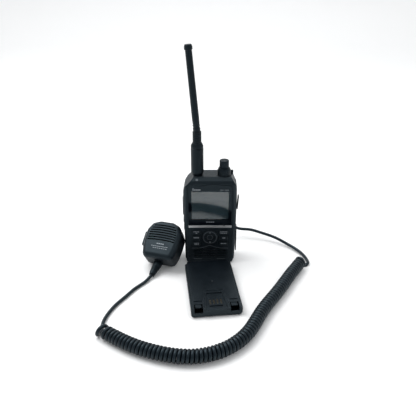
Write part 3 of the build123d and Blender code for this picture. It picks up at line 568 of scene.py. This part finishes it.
def highlight_ring(name, x, z, radius, width, place, body, ink):
    """Thin ring of painted highlight, standing in for light caught by a round edge."""
    mesh = bpy.data.meshes.new(name)
    built = bmesh.new()
    loops = []
    for r, depth in ((radius, INK_AND_HIGHLIGHT_RELIEF), (radius, -INK_AND_HIGHLIGHT_RELIEF), (radius + width, -INK_AND_HIGHLIGHT_RELIEF), (radius + width, INK_AND_HIGHLIGHT_RELIEF)):
        loop = []
        for step in range(RING_SIDES):
            angle = 2 * math.pi * step / RING_SIDES
            loop.append(built.verts.new(place(x + r * math.cos(angle), depth, z + r * math.sin(angle))))
        loops.append(loop)
    bridge(built, loops + loops[:1])
    write_mesh(built, mesh)
    return new_object(name, mesh, ink, body)


def bowed_ridge_highlight(name, points, width, place, body, ink):
    """Thin strip of painted highlight along a smooth path of (x, z) points, standing in for light caught by
    a ridge's edge.
    """
    path = smooth_path([(x, 0.0, z) for x, z in points], 0.8)
    mesh = bpy.data.meshes.new(name)
    built = bmesh.new()
    sections = []
    for x, _, z in path:
        corners = ((-INK_AND_HIGHLIGHT_RELIEF, -width / 2), (-INK_AND_HIGHLIGHT_RELIEF, width / 2), (INK_AND_HIGHLIGHT_RELIEF, width / 2), (INK_AND_HIGHLIGHT_RELIEF, -width / 2))
        sections.append([built.verts.new(place(x, depth, z + rise)) for depth, rise in corners])
    bridge(built, sections)
    built.faces.new(sections[0])
    built.faces.new(sections[-1])
    write_mesh(built, mesh)
    return new_object(name, mesh, ink, body)


def on_spare_pack(x, depth, z):
    """A point on the inner face of the pack on the table: x across it, z towards the viewer."""
    turned = Matrix.Rotation(math.radians(SPARE_TURN), 4, "Z") @ Vector((x * MM, -z * MM, 0))
    return at(*SPARE_AT, PACK_T - depth) + turned


def make_marks(materials):
    """Generic marks on window, keys, case foot, direction ring, pack and microphone, and painted highlights
    along the edges of the direction ring, the enter key and the bowed ridge.
    """
    ink = materials["ink"]
    grey = materials["grey_ink"]
    faint = materials["faint_ink_and_highlight"]
    glass = on_face(WINDOW_FACE)
    ring_face = on_face(RING_FACE)
    left_rows = dashes(-14.6, 92.9, 9.0, 1.2, 5) + [(-18.2, 94.6, 0.9, 1.0)]
    marks("window_marks_left", left_rows, glass, "radio", ink)
    right_rows = dashes(12.6, 92.7, 3.6, 0.9, 3) + dashes(18.0, 92.7, 4.2, 0.9, 3)
    marks("window_marks_right", right_rows, glass, "radio", grey)
    marks("window_marks_foot", dashes(0.2, 53.6, 9.4, 0.9, 4), glass, "radio", grey)
    key_face = on_face(KEY_FACE)
    for row, (left, right) in enumerate(KEY_MARKS):
        level = ("upper", "middle", "lower")[row]
        marks(f"marks_left_{level}", left, key_face, f"key_left_{level}", grey)
        marks(f"marks_right_{level}", right, key_face, f"key_right_{level}", grey)
    # Painted highlights on the edges of the direction ring and of the enter key
    highlight_ring("direction_ring_edge_highlight", 0, DPAD_Z, 7.1, 0.5, ring_face, "dpad", faint)
    highlight_ring("enter_key_edge_highlight", 0, DPAD_Z, 2.9, 0.4, on_face(ENTER_FACE), "enter", faint)
    marks("direction_ring_dots", [(0, 28.5, 1.5, 1.1), (0, 40.5, 1.2, 0.7)], ring_face, "dpad", grey)
    # Painted highlight along the bowed ridge under the keys
    bowed_ridge_highlight("bowed_ridge_highlight", BOWED_RIDGE_PATH, 0.55, on_face(0.1), "radio", faint)
    foot_rows = dashes(-13.8, 5.1, 9.5, 0.8, 4) + dashes(12.6, 5.3, 9.6, 0.8, 4)
    marks("foot_marks", foot_rows, on_face(PANEL_FACE), "radio", faint)
    marks("pack_mark", [(0.6, -3.2, 1.7, 0.8), (0.6, -2.2, 1.0, 0.7)], on_spare_pack, "spare_pack", faint)
    for row, (middle, level, length, height, pieces) in enumerate(MIC_MARKS):
        marks(f"mic_marks_{row}", dashes(middle, level, length, height, pieces), on_microphone, "mic", ink)


# ---- stage ----

def make_stage():
    """Pale swept backdrop whose far part glows as painted light, soft lights and white surroundings."""
    mesh = bpy.data.meshes.new("backdrop")
    built = bmesh.new()
    bend_y, bend_r = 1.2, 0.8
    profile = [(-2.5, 0.0), (bend_y, 0.0)]
    for step in range(10, 91, 10):
        angle = math.radians(step)
        profile.append((bend_y + bend_r * math.sin(angle), bend_r - bend_r * math.cos(angle)))
    profile.append((bend_y + bend_r, 3.5))
    rows = []
    for x in (-4.0, 4.0):
        rows.append([built.verts.new((x, y, z)) for y, z in profile])
    for i in range(len(profile) - 1):
        built.faces.new((rows[0][i], rows[1][i], rows[1][i + 1], rows[0][i + 1]))
    built.to_mesh(mesh)
    built.free()
    mesh.shade_smooth()
    floor = bpy.data.objects.new("backdrop", mesh)
    bpy.context.scene.collection.objects.link(floor)
    material, tree, shader, place = start_material("backdrop_paper")
    tint = blend_colour(tree, noise(tree, place, 0.01, 2.0), (0.88, 0.88, 0.875), (0.90, 0.90, 0.90))
    link(tree, tint, shader.inputs["Base Color"])
    shader.inputs["Roughness"].default_value = 0.55
    # Painted light: the paper glows more the further back it lies, standing in for lamp light on the far
    # backdrop
    depth = node(tree, "ShaderNodeSeparateXYZ", Vector=place).outputs["Y"]
    shader.inputs["Emission Color"].default_value = (1, 1, 1, 1)
    link(tree, ramp(tree, depth, 200.0, 1500.0, 0.0, 0.16), shader.inputs["Emission Strength"])
    mesh.materials.append(material)
    world = bpy.data.worlds.new("surroundings")
    world.use_nodes = True
    tree = world.node_tree
    sky = tree.nodes["Background"]
    sky.inputs["Color"].default_value = (0.96, 0.98, 1.0, 1)
    mirrored = node(tree, "ShaderNodeLightPath").outputs["Is Glossy Ray"]
    link(tree, ramp(tree, mirrored, 0.0, 1.0, SKY, MIRRORED_SKY), sky.inputs["Strength"])
    bpy.context.scene.world = world
    bpy.context.scene.view_settings.view_transform = "Standard"
    for name, spot, size, power in LAMPS:
        lamp = bpy.data.lights.new(name, "AREA")
        lamp.size = size
        lamp.energy = power
        holder = bpy.data.objects.new(name, lamp)
        holder.location = spot
        holder.rotation_euler = (Vector((0, 0, 0.05)) - Vector(spot)).to_track_quat("-Z", "Y").to_euler()
        bpy.context.scene.collection.objects.link(holder)


def make_camera():
    """Camera at the object's front, a little above, looking down at it."""
    camera = bpy.data.cameras.new("camera")
    camera.sensor_width = 36.0
    camera.lens = CAMERA_LENS
    camera.clip_start = 0.01
    holder = bpy.data.objects.new("camera", camera)
    holder.location = at(*CAMERA_AT)
    holder.rotation_euler = (math.radians(90 - CAMERA_DOWN), 0, 0)
    bpy.context.scene.collection.objects.link(holder)
    bpy.context.scene.camera = holder


def dress_cad_nodes(materials):
    """Every CAD node takes the finished material of its record slot."""
    for part in frame["record"]["subparts"]:
        shown = frame["nodes"][part["node"]]
        shown.data.materials.clear()
        shown.data.materials.append(materials[part["material_slot"]])
        shown.data.shade_smooth()
        shown.data.set_sharp_from_angle(angle=SHARP_ANGLE)


materials = make_materials()
dress_cad_nodes(materials)
make_cord(materials)
make_neck(materials)
make_marks(materials)
make_stage()
make_camera()
